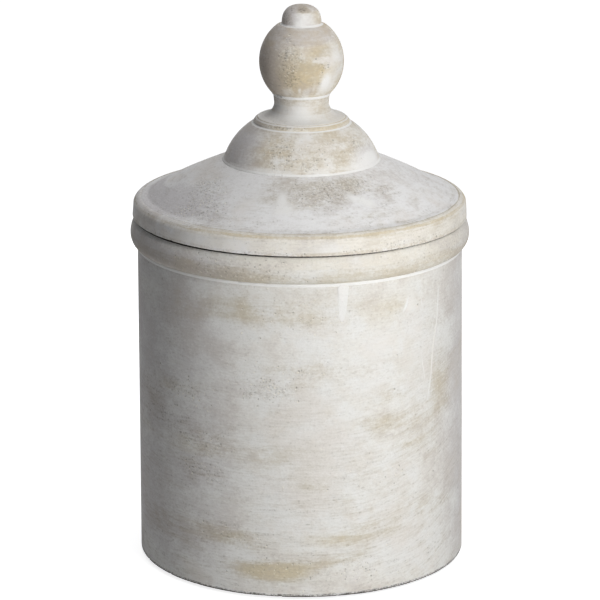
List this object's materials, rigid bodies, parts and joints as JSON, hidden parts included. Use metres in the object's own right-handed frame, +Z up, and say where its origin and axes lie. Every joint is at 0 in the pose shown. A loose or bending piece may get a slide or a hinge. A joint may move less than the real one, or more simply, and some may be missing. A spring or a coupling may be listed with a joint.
{
  "type": "lidded storage canister",
  "caption": "Cylindrical fired-clay canister with a rim bead and a conical lift-off lid that carries a stepped dome and ball finial, in a brushed antique-white wash.",
  "frame": {"origin": "on the turning axis, in the plane that the undersides of the base pads stand on", "axes": "+Z up along the turning axis, from the base pads to the button on top; the round form has no front, and the pictured side faces -Y"},
  "size_m": [0.18, 0.18, 0.2989],
  "materials": {
    "body_clay": "matte",
    "lid_clay": "matte",
    "finial_clay": "matte",
    "seal_silicone": "satin",
    "pad_rubber": "matte"
  },
  "bodies": {
    "vessel": {"canister_body": "body_clay", "base_pad_1": "pad_rubber", "base_pad_2": "pad_rubber", "base_pad_3": "pad_rubber", "base_pad_4": "pad_rubber"},
    "seal": {"seal_ring": "seal_silicone"},
    "cover": {"lid": "lid_clay", "finial": "finial_clay"}
  },
  "joints": [
    {"name": "lid_lift", "type": "slide", "parent": "vessel", "child": "seal", "axis": [0, 0, 1], "range_m": [0, 0.12]},
    {"name": "lid_turn", "type": "hinge", "parent": "seal", "child": "cover", "pos_m": [0, 0, 0.1855], "axis": [0, 0, 1], "continuous": true}
  ]
}
